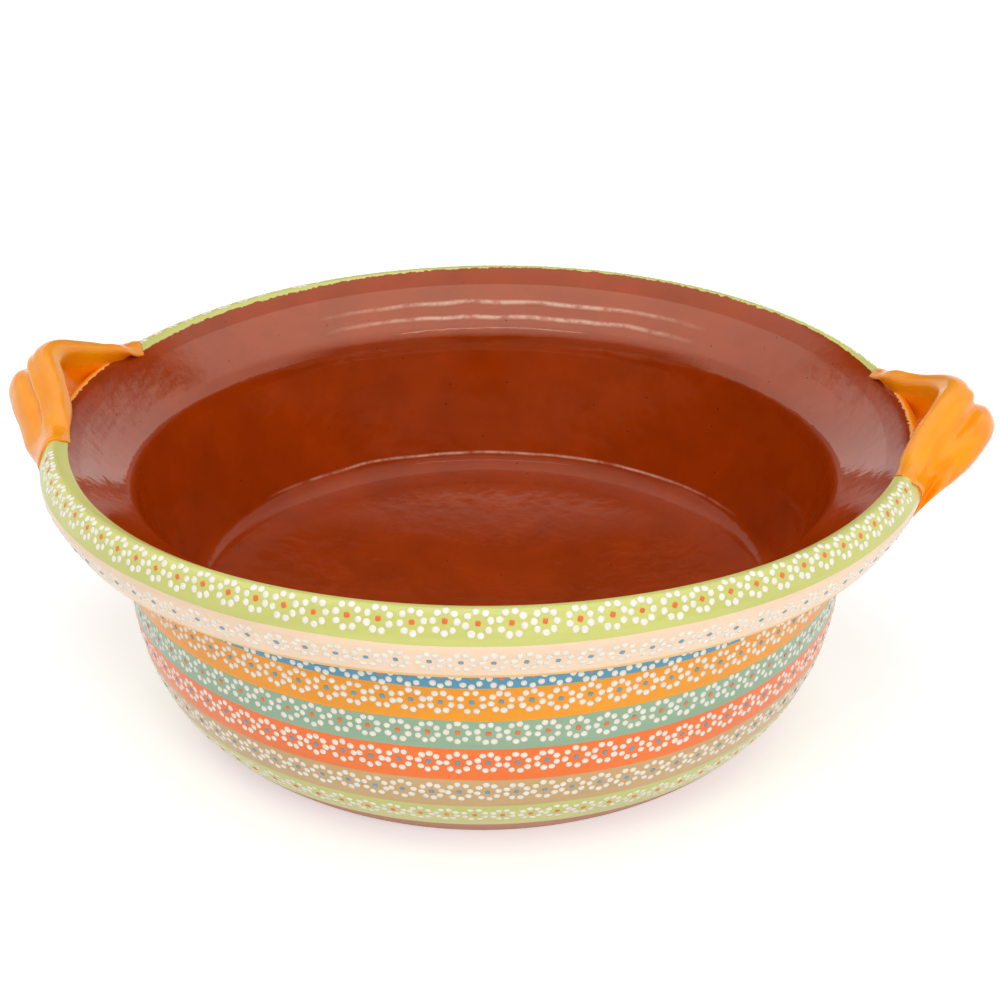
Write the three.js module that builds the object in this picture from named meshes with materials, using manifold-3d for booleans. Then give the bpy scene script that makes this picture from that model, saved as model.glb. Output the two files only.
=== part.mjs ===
// A large glazed clay cazuela: a low round cooking bowl with a heavy flared rim and two strap handles.
// Millimetres, +Z up. The origin is the middle of the flat underside. The handles lie on the X axis.
//
// Four pieces of clay make it: a bowl body pressed over a mould, a rim collar built up as a coil and
// luted on the body's top edge, and two pulled straps luted to the lip as handles.

import * as THREE from 'three';
import { mergeVertices } from 'three/addons/utils/BufferGeometryUtils.js';
import Module from 'manifold-3d';

// Bowl body, outside
const BASE_RADIUS = 115;          // flat underside
const BASE_ANGLE = 54;            // lean of the belly from upright where it leaves the underside, degrees
const BASE_REACH = 26;            // how far the belly keeps that lean
const BELLY_HEIGHT = 58;          // height at which the belly has become the wall
const BELLY_REACH = 25;           // how far below that height the wall's lean still governs
const NECK_RADIUS = 147.5;        // outside of the wall at its top
const NECK_HEIGHT = 93.5;         // height of the wall's top edge, the seam with the collar
const WALL_LEAN = 4.5;            // outward lean of the outer wall, degrees

// Bowl body, inside
const NECK_THICKNESS = 10;        // clay at the top of the wall
const WALL_SETIN = 15.5;          // how much further in the wall's foot is than its top
const CORNER_HEIGHT = 42;         // height of the floor at its edge
const CORNER_FILLET = 12;         // how far the round between wall and floor reaches along each
const FLOOR_THICKNESS = 20;       // clay at the middle of the dished floor

// Rim collar: radii from the outside of the neck, heights from the seam
const LIP_OVERHANG = 27.5;        // widest line of the lip
const LIP_RISE = 18.5;
const LIP_ROUND = 5;              // how far the lip's rounding reaches to each side
const CREST_OVERHANG = 21.5;      // highest line of the lip
const CREST_RISE = 30.5;
const SKIRT_OVERHANG = 19.5;      // lower edge of the sloping underside of the lip
const SKIRT_RISE = 3.5;
const SKIRT_ROUND = 2.5;
const UNDERCUT_RISE = 3;          // where the collar's underside meets the line of the wall
const UNDERCUT_ROUND = 2.5;
const THROAT_EASE = 1.5;          // widening of the inner wall up to where the flare begins
const THROAT_RISE = 8.5;
const THROAT_ROUND = 5;

// Handles: places from the lip's widest and highest lines
const HANDLE_LENGTH = 108;        // from root to root, measured round the rim
const STRAP_REACH = 10.5;         // middle of the strap beyond the lip at the top of its arch
const STRAP_RISE = 3.5;           // and above the lip
const STRAP_WIDTH = 35;
const STRAP_THICKNESS = 13;
const STRAP_TILT = 48;            // slope of the strap's width, outward and down, degrees
const FLUTE_DEPTH = 2.2;          // hollow of each flute pressed along the strap
const FLUTE_PITCH = 13;           // from one ridge to the next
const ROOT_SINK = 6.5;            // middle of the strap inside the lip's widest line at a root
const ROOT_DROP = 7;              // and below its highest line
const ROOT_WIDTH = 22;
const ROOT_THICKNESS = 9;
const ARCH_SHARPNESS = 1.9;       // 1 for a plain arch, more for a tighter bend at the top
const LUTE_CLEARANCE = 0.3;       // seam between a handle and the lip that it is pressed on

// Fineness
const TURN_SEGMENTS = 84;
const FILLET_LEAD = 2;             // least step from the end of a round to the next point
const CURVE_STEPS = 9;
const ROUND_STEPS = 4;
const STRAP_STEPS = 22;
const STRAP_SIDE_POINTS = 10;

const radians = THREE.MathUtils.degToRad;
const point = (r, z) => new THREE.Vector2(r, z);
const atNeck = (overhang, rise) => point(NECK_RADIUS + overhang, NECK_HEIGHT + rise);
const neckOuter = atNeck(0, 0);
const neckInner = atNeck(-NECK_THICKNESS, 0);
const wasm = await Module();
wasm.setup();

// Profiles

// A corner between two straight runs is rounded by a curve that starts and ends reach away from it.
function rounded(before, corner, after, reach) {
  const start = corner.clone().add(before.clone().sub(corner).setLength(reach));
  const end = corner.clone().add(after.clone().sub(corner).setLength(reach));
  return new THREE.QuadraticBezierCurve(start, corner, end).getPoints(ROUND_STEPS);
}

function bodyProfile() {
  const baseLean = radians(BASE_ANGLE);
  const wallLean = radians(WALL_LEAN);
  const baseEdge = point(BASE_RADIUS, 0);
  const bellyTop = point(NECK_RADIUS - (NECK_HEIGHT - BELLY_HEIGHT) * Math.tan(wallLean), BELLY_HEIGHT);
  const belly = new THREE.CubicBezierCurve(
    baseEdge,
    baseEdge.clone().add(point(Math.sin(baseLean), Math.cos(baseLean)).multiplyScalar(BASE_REACH)),
    bellyTop.clone().sub(point(Math.sin(wallLean), Math.cos(wallLean)).multiplyScalar(BELLY_REACH)),
    bellyTop,
  );

  const corner = point(neckInner.x - WALL_SETIN, CORNER_HEIGHT);
  const floorMiddle = point(0, FLOOR_THICKNESS);
  // the dish of the floor is a parabola, level at its middle
  const dish = new THREE.QuadraticBezierCurve(corner, point(corner.x / 2, FLOOR_THICKNESS), floorMiddle);
  const dishTangent = corner.clone().add(dish.getTangent(0));
  const fillet = rounded(neckInner, corner, dishTangent, CORNER_FILLET);
  const floor = dish.getPoints(CURVE_STEPS).filter((p) => p.x < fillet.at(-1).x - FILLET_LEAD);

  return [
    point(0, 0),
    ...belly.getPoints(CURVE_STEPS + 2),
    neckOuter,
    neckInner,
    ...fillet,
    ...floor,
  ];
}

// The collar's section closes on itself. A clearance moves its outside outward, for what is cut by it.
function collarProfile(clearance = 0) {
  const undercut = atNeck(clearance, UNDERCUT_RISE - clearance);
  const skirt = atNeck(SKIRT_OVERHANG + clearance, SKIRT_RISE - clearance);
  const lip = atNeck(LIP_OVERHANG + clearance, LIP_RISE);
  const crest = atNeck(CREST_OVERHANG, CREST_RISE + clearance);
  const throat = atNeck(THROAT_EASE - NECK_THICKNESS, THROAT_RISE);
  return [
    neckInner,
    neckOuter,
    ...rounded(neckOuter, undercut, skirt, UNDERCUT_ROUND),
    ...rounded(undercut, skirt, lip, SKIRT_ROUND),
    ...rounded(skirt, lip, crest, LIP_ROUND),
    ...rounded(lip, crest, throat, LIP_ROUND),
    ...rounded(crest, throat, neckInner, THROAT_ROUND),
    neckInner,
  ];
}

// A closed turned solid. Profiles run anticlockwise with the axis on their left.
function turned(profile) {
  return welded(new THREE.LatheGeometry(profile, TURN_SEGMENTS).rotateX(Math.PI / 2));
}

// Solids

function welded(geometry) {
  geometry.deleteAttribute('normal');
  geometry.deleteAttribute('uv');
  return mergeVertices(geometry, 1e-4);
}

function toSolid(geometry) {
  return new wasm.Manifold(new wasm.Mesh({
    numProp: 3,
    vertProperties: new Float32Array(geometry.attributes.position.array),
    triVerts: new Uint32Array(geometry.index.array),
  }));
}

function toGeometry(solid) {
  const mesh = solid.getMesh();
  const geometry = new THREE.BufferGeometry();
  geometry.setAttribute('position', new THREE.BufferAttribute(mesh.vertProperties, 3));
  geometry.setIndex(new THREE.BufferAttribute(mesh.triVerts, 1));
  return geometry;
}

// Section of a strap: x runs across its width from -0.5 to 0.5, y through its thickness.
// The outer face has ridges and flutes, the face towards the fingers is plain, the edges are round.
function strapSection() {
  const outer = [];
  const inner = [];
  for (let i = 0; i <= STRAP_SIDE_POINTS; i += 1) {
    const across = -Math.cos((i / STRAP_SIDE_POINTS) * Math.PI) / 2;
    const edge = Math.sqrt(Math.max(0, 1 - (2 * across) ** 6));
    outer.push(point(across, 0.5 * edge));
    if (i > 0 && i < STRAP_SIDE_POINTS) inner.push(point(across, -0.5 * edge));
  }
  return new THREE.Shape([...outer, ...inner.reverse()].reverse());
}

// Hollow of the flutes at a distance across the strap, none at its edges.
function fluteHollow(across, width) {
  const wave = (1 - Math.cos((2 * Math.PI * (across * width + FLUTE_PITCH / 4)) / FLUTE_PITCH)) / 2;
  return FLUTE_DEPTH * wave * Math.max(0, 1 - (2 * across) ** 4);
}

// The strap is a straight bar of its section, bent round the arch: along runs from -1 to 1.
function strapGeometry() {
  const bar = new THREE.ExtrudeGeometry(strapSection(), {
    depth: 2, steps: STRAP_STEPS, bevelEnabled: false,
  });
  const place = bar.attributes.position;
  const tilt = radians(STRAP_TILT);
  const lip = atNeck(LIP_OVERHANG, LIP_RISE);
  const crest = atNeck(CREST_OVERHANG, CREST_RISE);
  const rootRadius = lip.x - ROOT_SINK;
  for (let i = 0; i < place.count; i += 1) {
    const along = 1 - place.getZ(i);
    const rise = Math.cos((along * Math.PI) / 2) ** ARCH_SHARPNESS;
    const width = THREE.MathUtils.lerp(ROOT_WIDTH, STRAP_WIDTH, rise);
    const thickness = THREE.MathUtils.lerp(ROOT_THICKNESS, STRAP_THICKNESS, rise);
    const across = place.getX(i) * width;
    let through = place.getY(i) * thickness;
    if (place.getY(i) > 0) through -= fluteHollow(place.getX(i), width) * rise;
    const radius = THREE.MathUtils.lerp(rootRadius, lip.x + STRAP_REACH, rise)
      + across * Math.cos(tilt) + through * Math.sin(tilt);
    const height = THREE.MathUtils.lerp(crest.y - ROOT_DROP, crest.y + STRAP_RISE, rise)
      - across * Math.sin(tilt) + through * Math.cos(tilt);
    const angle = (along * HANDLE_LENGTH) / 2 / rootRadius;
    place.setXYZ(i, radius * Math.cos(angle), radius * Math.sin(angle), height);
  }
  return welded(bar);
}

// A handle is the bent strap with the lip and its lute clearance cut away, so that it sits on the lip.
function handleGeometry() {
  const strap = toSolid(strapGeometry());
  const lip = toSolid(turned(collarProfile(LUTE_CLEARANCE)));
  return toGeometry(strap.subtract(lip));
}

// Pieces

function clay(name, geometry, colour, roughness) {
  const material = new THREE.MeshStandardMaterial({ color: colour, roughness, metalness: 0 });
  const mesh = new THREE.Mesh(geometry, material);
  mesh.name = name;
  return mesh;
}

function buildBody() {
  return clay('bowl_body', turned(bodyProfile()), 0x8a3a12, 0.2);
}

function buildCollar() {
  return clay('rim_collar', turned(collarProfile()), 0xc9d06e, 0.25);
}

function buildHandles() {
  const right = clay('right_handle', handleGeometry(), 0xf59a1c, 0.2);
  const left = clay('left_handle', handleGeometry(), 0xf59a1c, 0.2);
  left.rotation.z = Math.PI;
  return [right, left];
}

const group = new THREE.Group();
group.add(buildBody(), buildCollar(), ...buildHandles());

export default group;
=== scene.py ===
"""A large glazed clay cazuela: the painted, dotted and glazed surfaces over its packed construction.

Blender works in metres. Sizes in this file are real sizes in millimetres, turned into metres by MM.
The handles lie on the X axis and Z is up. The photograph was taken from the -Y side.
"""
import bisect
import math

import bmesh
import bpy
from mathutils import Matrix, Vector, noise


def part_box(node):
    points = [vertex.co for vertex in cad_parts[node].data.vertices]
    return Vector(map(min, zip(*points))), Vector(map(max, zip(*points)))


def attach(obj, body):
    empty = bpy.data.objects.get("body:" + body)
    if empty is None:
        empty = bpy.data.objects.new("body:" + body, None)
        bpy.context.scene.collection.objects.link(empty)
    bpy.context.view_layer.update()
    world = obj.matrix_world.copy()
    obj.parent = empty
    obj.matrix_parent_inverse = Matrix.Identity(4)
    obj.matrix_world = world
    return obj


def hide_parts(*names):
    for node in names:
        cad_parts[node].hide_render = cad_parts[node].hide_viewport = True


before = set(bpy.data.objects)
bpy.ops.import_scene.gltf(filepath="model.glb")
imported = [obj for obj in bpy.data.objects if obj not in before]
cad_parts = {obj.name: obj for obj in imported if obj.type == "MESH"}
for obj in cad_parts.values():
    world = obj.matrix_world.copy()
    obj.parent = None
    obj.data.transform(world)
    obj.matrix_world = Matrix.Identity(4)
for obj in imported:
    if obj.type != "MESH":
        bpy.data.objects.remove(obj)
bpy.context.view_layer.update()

MM = 0.001
WELD = 1e-6                  # metres: points closer than this are one
ROOT = "root"
NECK_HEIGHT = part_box("rim_collar")[0].z - WELD  # metres: just under the seam of body and collar

# Camera, as the photograph was taken
PHOTO_WIDTH = 1000           # pixels
FOCAL_PIXELS = 1745
CAMERA_TURN = -84            # where the camera stands round the bowl, degrees from the right handle
CAMERA_RISE = 22.72          # degrees above level, seen from the middle of the mouth
CAMERA_DISTANCE = 698.4      # from the middle of the mouth
CAMERA_ROLL = -0.46          # degrees
MOUTH_HEIGHT = 120.5
MOUTH_PIXEL = (483.8, 409.2)  # where the middle of the mouth falls in the photograph

# Turned forms
TURN_STEPS = 360
COLLAR_STEP = 0.7            # along the collar's outline
BODY_STEP = 2.2              # along the body's outline
SHARP_TURN = 30              # an outline is kept sharp where it turns by more than this, degrees
SEAM_EASE = 0.15             # hollow that rounds the inner seam between body and collar
SEAM_REACH = 5               # and how far it reaches up and down
FLOOR_CORNER = (122, 42)     # radius and height where the inner wall's and the floor's lines would meet
FLOOR_ROUND = 12.1           # the round between them starts this far off
FLOOR_TIGHTER = 0.5          # and is pressed in to this share of its size

# The hand-turned rim isn't level, and stands above its true circle by these amounts
RIM_LIFT = 1.1               # all round
RIM_LEAN = 0.9               # more on one side and less on the other
RIM_LEAN_SIDE = 70           # degrees round the bowl
RIM_WAVE = 1.5               # more at two opposite places and less between them
RIM_WAVE_SIDE = 85
RIM_WARP_FOOT = 98           # height below which the collar is true
CREST_HEIGHT = 122
WALL_STRAY = 0.5             # how far the wall strays from its true circle
STRAY_LUMP = 70              # in lumps of about this size
STRAY_FOOT = 30              # and in full from this height up

# Throwing ridges on the back of the flare: radius, height
THROWING_RIDGES = ((157.5, 0.1), (151, 0.3), (145.2, 0.22))
RIDGE_WIDTH = 0.9
RIDGE_REACH = 3              # in widths, beyond which a ridge raises nothing
RIDGE_WANDER = 1.2           # how far a ridge strays from its circle
RIDGE_CIRCLES = (2.5, 6)     # circles in the noise that its line and its height are read on
RIDGE_SHARE = 0.6            # share of its height that a ridge has on the whole
RIDGE_UNEVEN = 0.8           # and how much more or less it may have in places
RIDGE_SIDE = 94              # where they stand out most, degrees round the bowl
RIDGE_SPREAD = 24
FAINT_RIDGE = 0.12           # what is left of them elsewhere, as a share

# Painted highlights: pale broken glint lines in the brown glaze, along the two inner ridges and along the
# top of the round above the floor. Each has the distances from its middle where it starts to fade and is
# gone, how far it strays from side to side, and the sines of the angles round the bowl where it begins and
# is full.
RIDGE_GLINT = (0.15, 1.1)
RIDGE_GLINT_STRAY = 2.4
RIDGE_GLINT_BACK = (0.8, 0.97)
FILLET_GLINT_HEIGHT = 46.5
FILLET_GLINT = (0.1, 0.8)
FILLET_GLINT_STRAY = 2.0
FILLET_GLINT_BACK = (0.5, 0.85)
GLINT_SHARE = 0.75            # how much of the brown a painted glint line takes away

# Painted edges. A stray is counted from side to side.
BRUSH_STRAY = 1.2            # of a painted edge from its circle, in long waves
BRUSH_JITTER = 0.25          # and in short ones
PAINT_EDGE = 164             # radius of the line on the lip where green meets the brown inside
PAINT_CENTRE = (0.9, 2.3)    # the painted line isn't centred on the bowl
PAINT_BLUR = 0.15            # and fades over twice this
PAINT_SMEAR = 2.2            # stray of its smears at the back
SMEAR_BACK = (0.2, 0.7)      # sines of the angles round the bowl where they begin and are full
PAINTED_RADIUS = 159         # the collar is covered by the painted surface from here outwards
PAINTED_SEAM = 8             # and the wall's top edge, under the collar, as far in as this
THROAT_HEIGHT = 99.5         # above it everything inside the painted line is brown
WALL_RADIUS = 143            # middle of the wall at the throat

# The handles' orange slip on the lip between the roots
ORANGE_EDGE = 166.6          # radius of its ragged edge
ORANGE_STRAY = 3.2
ORANGE_BLUR = 0.1            # it fades over twice this
ORANGE_THIN = (0.9, 1.5)     # beyond that edge it's thin up to here, and full from there
ORANGE_FOOT = 108            # height that it reaches down to outside
ORANGE_FRONT = (-0.3, -0.264)  # sine of the angle round the bowl at its front end, right and left
ORANGE_BACK = (0.3, 0.318)   # and at its back end

# Slip colours as written for a screen
BARE_CLAY = (205, 150, 128)
LIME = (210, 214, 122)
TAN = (212, 174, 118)
CORAL = (255, 122, 40)
TEAL = (150, 184, 152)
ORANGE = (253, 162, 14)
BLUE = (88, 160, 190)
YELLOW = (250, 200, 120)
CREAM = (255, 222, 190)
GREEN = (212, 213, 120)
BROWN = (158, 54, 4)
DARK_MOTTLE = 0.91           # share of the brown left in its dark patches
LIGHT_MOTTLE = (1.06, 1.1, 1.3)  # and times each of its parts in the light ones
PIT_BROWN = (72, 26, 8)
# colour of the painted glint lines, highlights drawn into the brown glaze
GLINT_COLOUR = (232, 190, 165)
HANDLE_ORANGE = (255, 166, 2)
HANDLE_DEEP = (252, 142, 0)
# pale slip on the straps' edges and ridges, partly a painted highlight
HANDLE_PALE = (246, 156, 52)
RIM_PALE = (250, 178, 96)
WHITE_SLIP = (252, 246, 232)
RED_DAB = (250, 122, 58)
BLUE_DAB = (112, 164, 190)
DULL_SLIP = 0.95             # share of a dot's colour left in its dull patches

# Painted bands, from the foot up: height of the upper edge, colour
BANDS = (
    (12.2, BARE_CLAY),
    (26.6, LIME),
    (40.9, TAN),
    (54.8, CORAL),
    (67.2, TEAL),
    (80.9, ORANGE),
    (96.6, BLUE),
    (99.0, YELLOW),
    (113.2, CREAM),
    (140.0, GREEN),
)

# Glazes
GLAZE_IOR = 1.5              # of the plain glaze
FLARE_IOR = 1.75             # the lead glaze lies thick and shines on the flare,
WELL_IOR = 1.38              # and is thinner and duller in the well
STRAP_IOR = 1.38
LEAD_GLAZE_TINT = (1.0, 0.76, 0.6, 1)
PLAIN_TINT = (1, 1, 1, 1)
BROWN_ROUGHNESS = 0.09
LINE_ROUGHNESS = 0.1         # of the brown beside the painted line
BAND_ROUGHNESS = 0.3
CLAY_ROUGHNESS = 0.75
STRAP_ROUGHNESS = 0.2
DOT_ROUGHNESS = 0.12
PIT_SPACING = 9
PIT_EDGE = (0.03, 0.055)     # a pit ends between these shares of the spacing
PIT_DEPTH = 0.12
BROWN_LUMPS = (7, 0.16)      # size and height of the lumps in the brown glaze,
BROWN_GRAIN = (0.9, 0.012)   # of its grain,
BAND_LUMPS = (6, 0.1)        # of the lumps in the painted bands,
STRAP_LUMPS = (5, 0.2)       # in the straps
DOT_LUMPS = (1.2, 0.04)      # and in the dots
STROKE_HEIGHT = 0.05         # of the brush strokes in the painted bands
STREAK_HEIGHT = 0.22         # of the streaks along the straps

# Patterns in the finishes, as noise: the size of its lumps, its detail and its roughness.
# Brush strokes have before these how many times they are drawn out round the bowl.
MOTTLE = (26, 4, 0.6)        # light and dark patches in the brown
BROWN_STROKES = (6, 6, 3, 0.6)
SPECKS = (1.6, 2, 0.6)       # dark specks in the brown
GLINT_WAVES = (30, 1)         # by which the painted glint lines stray,
GLINT_BREAKS = (9, 3, 0.7)    # and in which they break up
LONG_WAVES = (55, 1)         # by which a painted edge strays
SHORT_WAVES = (3, 2)
BAND_STROKES = (9, 9, 3, 0.6)
ORANGE_RAGS = (2.6, 3, 0.7)  # by which the orange slip's edge on the lip strays
STRAP_MOTTLE = (16, 3)       # light and dark patches in the straps' slip
STRAP_CLOUDS = (9, 3, 0.6)   # patches in which its thin slip and painted highlights are paler
DOT_MOTTLE = (2.5, 2)        # white and dull patches in the dots

# Values of the noise from and up to which a pattern grows, from 0 to 1 or between the shares after them
MOTTLE_SHOWS = (0.3, 0.7)
BROWN_STROKES_SHOW = (0.35, 0.75, 0, 0.45)
SPECKS_SHOW = (0.62, 0.8, 0, 0.35)
GLINT_BREAKS_SHOW = (0.34, 0.56, 0.2, 1.0)
BAND_STROKES_SHOW = (0.25, 0.75, 0.88, 1.06)
STRAP_CLOUDS_SHOW = (0.2, 0.65, 0.3, 0.9)
STREAKS_SHOW = (0.6, 0.85, 0, 0.25)

# Handles. Degrees round the bowl: the middle of a handle, and half of its span from root to root.
# A strap is spanned between two rails. Each station holds the share of the way from the middle to a
# root, the radius and height of the inner rail and of the outer rail, and the strap's thickness.
# A root covers the lip between two places counted from its crest outwards, stands above it by a height,
# and stops short of the strap's end by so many degrees at five places from its inner to its outer edge.
HANDLES = {
    "left_handle": {"middle": 178.3, "half_span": 19.3, "towards_back": -1, "stations": (
        (-1.0, 166, 123.5, 177, 110.5, 7),
        (-0.7, 166, 123, 177, 112.5, 9),
        (-0.45, 168.5, 125, 180, 115.5, 12),
        (-0.2, 174.5, 130.5, 186.2, 118.5, 14),
        (0.0, 179.5, 133.5, 191.4, 120.5, 14),
        (0.2, 179.5, 132.3, 190.3, 116.5, 15),
        (0.45, 173.5, 127, 183, 108.5, 14),
        (0.6, 169, 125, 180, 109, 10.5),
        (0.78, 166, 125, 179, 112.5, 10.5),
        (1.0, 166, 125, 178.5, 112.5, 8.5),
    ), "roots": (
        (-7.5, 13, 1.2, (2.3, 1.2, 0.5, 0.2, 0)),
        (-7.5, 18, 1.8, (2.3, 0.8, 0.2, 0, 0)),
    )},
    "right_handle": {"middle": -0.5, "half_span": 18.2, "towards_back": 1, "stations": (
        (-1.0, 166.5, 123, 177, 108, 6),
        (-0.7, 168, 121.5, 178.6, 114, 10),
        (-0.45, 172.5, 126, 186.2, 120, 13),
        (-0.2, 179, 131.5, 191.6, 123, 14),
        (0.0, 183, 133.5, 193.2, 122.5, 14),
        (0.2, 182, 131, 190.5, 117, 15),
        (0.45, 174.5, 126, 183.5, 109, 14),
        (0.6, 169.5, 125.5, 181.5, 109.5, 11.5),
        (0.78, 167, 125.5, 179.5, 113, 10.5),
        (1.0, 167, 125.5, 179.5, 113, 8.5),
    ), "roots": (
        (-4.5, 20, 1.0, (0.7, -0.8, 1.7, 3.2, -0.8)),
        (-5.5, 18, 1.8, (0.7, 0.3, 0, 0, 0)),
    )},
}
STRAP_ROLL = 5.5             # how far the strap's rounded edge stands out from a rail
FULL_THICKNESS = 14
EDGE_ROUND = 0.85            # powers that shape the strap's section: below 1 they make its edges
FACE_ROUND = 0.65            # and its faces fuller than a plain oval
FLUTES = ((0.04, 3.0, 0.2), (-0.42, 0.6, 0.14))  # place across the strap from -1 to 1, depth, width
FLUTE_SHARE = 0.8            # share of the half span over which the flutes deepen from a root
ROOT_SHARE = 0.4             # share over which the strap leaves the lip
ROOT_ROUND = 0.06            # share over which the very end of a root is rounded down,
ROOT_END_SHARE = 0.6         # to this share of its height
ROOT_FILM = 0.35             # the strap's outer face stays this far off the lip
TRIM_FROM = 0.5              # share of the half span from which the strap draws back to stop short
STRAP_STEPS = 140
STRAP_SIDES = 96
LIP_POINTS = 40              # points of the collar's outline that make the lip, to each side of its crest
LIP_BLUR = 3                 # the lip's normal is eased over this to each side
STREAKS = (3, 26)            # lumps in the slip along a strap and round it
STREAK_STRAY = 0.05          # how far they move the thin slip's edges, as a share of the way round

# How pale a strap is round its section, thin slip and painted highlight on its edges and ridges: share
# of the way round from the inner edge, over the outer face to the outer edge at one half, and back along
# the inner face
PALE_SLIP_AND_HIGHLIGHTS = (
    (0.1, 0.95), (0.16, 0.3), (0.2, 0.0), (0.24, 0.25), (0.28, 0.05), (0.36, 0.0), (0.44, 0.6),
    (0.5, 0.9), (0.56, 0.1), (0.62, 0.0), (0.9, 0.0), (0.95, 0.5),
)
EDGE_SLIP_AND_HIGHLIGHT = (0.9, 0.8)       # how pale it is at the inner edge, thin slip and painted highlight, where the way round begins and ends

# Rows of dotted flowers: name, clay piece, flowers in a stretch, stretches, radius, height, how much
# higher the row runs at the back, colour of the middles
FLOWER_ROWS = (
    ("lip", "collar_clay", 40, 2, 169.8, 119.4, 3.2, "red"),
    ("cream", "collar_clay", 41, 2, 170.6, 106.6, 0, "blue"),
    ("blue", "body_clay", 90, 1, 147.0, 85.4, 0, "red"),
    ("orange", "body_clay", 90, 1, 147.0, 75.2, 0, "blue"),
    ("teal", "body_clay", 88, 1, 145.5, 62.0, 0, "red"),
    ("coral", "body_clay", 88, 1, 143.5, 49.0, 0, "blue"),
    ("tan", "body_clay", 88, 1, 140.0, 35.0, 0, "blue"),
    ("lime", "body_clay", 86, 1, 134.5, 20.4, 0, "red"),
)
ROW_GAP = 19.5               # degrees from a handle's middle to where the flowers on the collar begin
PETALS = 8
RING_RADIUS = 3.9
RING_SCALE = (0.93, 1.05)    # least and most of a ring's size
DOT_RADIUS = 1.29
DAB_RADIUS = 0.95
SLIP_THICKNESS = 0.22        # from the middle of a dot or dab to its top
DAB_ROUNDNESS = 0.62         # 0 for a square dab, 1 for a round one
DOT_SIDES = 9
DOT_RINGS = 5
DAB_POINTS = (4, 4, 3)       # along each side of a dab
LEAST_SCALE = (0.9, 0.9, 0.8)    # of a dot or dab, along and off the clay
MOST_SCALE = (1.08, 1.08, 1.15)
FLOWER_WANDER = 0.28
DOT_WANDER = 0.35            # of a dot in its ring, as a share of the flower's

# What the glaze mirrors, by the direction of a mirrored ray, whose parts run from -1 to 1
WALLS_TOP = (-0.04, 0.08)    # rise at which the pale walls start to fade, and end
WALLS_SLOPE = 1.2            # they stand higher by this times how far a ray points sideways
WALLS_FAINT = 0.06           # strength left above them
WALLS_FRONT = (-0.5, -0.1)   # between these towards the front they fade
WALLS_FRONT_FAINT = 0.15     # to this strength
CEILING_FOOT = (0.4, 0.6)    # rise at which the pale ceiling starts, and is white
CEILING_TOP = (0.6, 0.98)    # between these rises it grows brighter
CEILING_BRIGHT = 1.9         # up to this strength
CEILING_BACK = (0.5, 0.66)   # between these towards the back it ends

# Studio, in metres and watts
SOFT_LIGHT = 0.46            # strength of the light from all round
FLOOR_HALF = 6.0
FLOOR_WHITE = 0.9
GLOW_REACH = (0.6, 1.8)      # distances from the bowl between which the floor's glow grows
GLOW = (0.42, 1.0)           # from and to these strengths
CLIP_START = 0.01
# name, place, aim, width and height, watts, whether the glaze mirrors it
LAMPS = (
    ("overhead", (0.0, -0.35, 1.3), (0, -0.1, 0.1), (0.95, 1.05), 4.4, False),
    ("strip", (0.0, -0.62, 1.25), (0, 0.1, 0.1), (1.1, 0.05), 0.8, True),
    ("back_left", (-1.0, 0.75, 1.0), (0, 0, 0.1), (1.0, 0.9), 2.4, False),
    ("back_right", (0.9, 0.7, 1.15), (0, 0, 0.1), (1.0, 0.9), 2.4, False),
    ("front_left", (-0.9, -1.1, 0.8), (0, 0, 0.1), (0.5, 0.7), 2.4, False),
    ("front_right", (0.7, -1.2, 0.7), (0, 0, 0.1), (0.5, 0.7), 6, False),
)


def screen_colour(colour):
    """A colour written 0 to 255 for a screen, as the linear colour that a shader takes."""
    shares = [c / 255 for c in colour]
    return (*[s / 12.92 if s <= 0.04045 else ((s + 0.055) / 1.055) ** 2.4 for s in shares], 1)


# Node trees

class NodePen:
    """Draws nodes in a tree. Inputs are given by name or number: a socket is linked, a value is set."""

    def __init__(self, tree):
        self.tree = tree

    def __call__(self, kind, inputs=(), **settings):
        node = self.tree.nodes.new(kind)
        for name, value in settings.items():
            setattr(node, name, value)
        for name, value in dict(inputs).items():
            socket = node.inputs[name]
            if isinstance(value, bpy.types.NodeSocket):
                self.tree.links.new(value, socket)
            else:
                socket.default_value = value
        return node

    def math(self, operation, *values):
        """A Math node's result."""
        return self("ShaderNodeMath", enumerate(values), operation=operation).outputs[0]

    def product(self, first, *others):
        """All the values multiplied."""
        for value in others:
            first = self.math("MULTIPLY", first, value)
        return first

    def scaled(self, vector, factor):
        """A vector times a number."""
        return self("ShaderNodeVectorMath", {0: vector, "Scale": factor}, operation="SCALE").outputs[0]

    def vector(self, operation, *values, out=0):
        """A Vector Math node's result."""
        return self("ShaderNodeVectorMath", enumerate(values), operation=operation).outputs[out]

    def switch(self, socket_type, chooser, when_off, when_on):
        """One of two sockets, by a third."""
        node = self("GeometryNodeSwitch", {"Switch": chooser}, input_type=socket_type)
        for name, value in (("False", when_off), ("True", when_on)):
            self.tree.links.new(value, node.inputs[name])
        return node.outputs["Output"]


# Turned clay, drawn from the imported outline

def turned_section(node):
    """The outline of a turned node at angle 0, as (radius, height) in metres, walked round the clay."""
    mesh = bmesh.new()
    mesh.from_mesh(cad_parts[node].data)
    bmesh.ops.remove_doubles(mesh, verts=mesh.verts, dist=WELD)
    column = {v for v in mesh.verts if abs(v.co.y) < WELD and v.co.x > -WELD}
    point = min(column, key=lambda v: (round(v.co.z, 5), v.co.x))
    walked = []
    while point:
        walked.append(point)
        column.discard(point)
        onward = [e.other_vert(point) for e in point.link_edges if e.other_vert(point) in column]
        point = min(onward, key=lambda v: v.co.z) if onward else None
    section = [Vector((v.co.x, v.co.z)) for v in walked]
    mesh.free()
    return section


def turn_at(before, corner, after):
    """How much an outline turns at a corner, degrees."""
    return math.degrees((corner - before).angle(after - corner))


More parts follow.
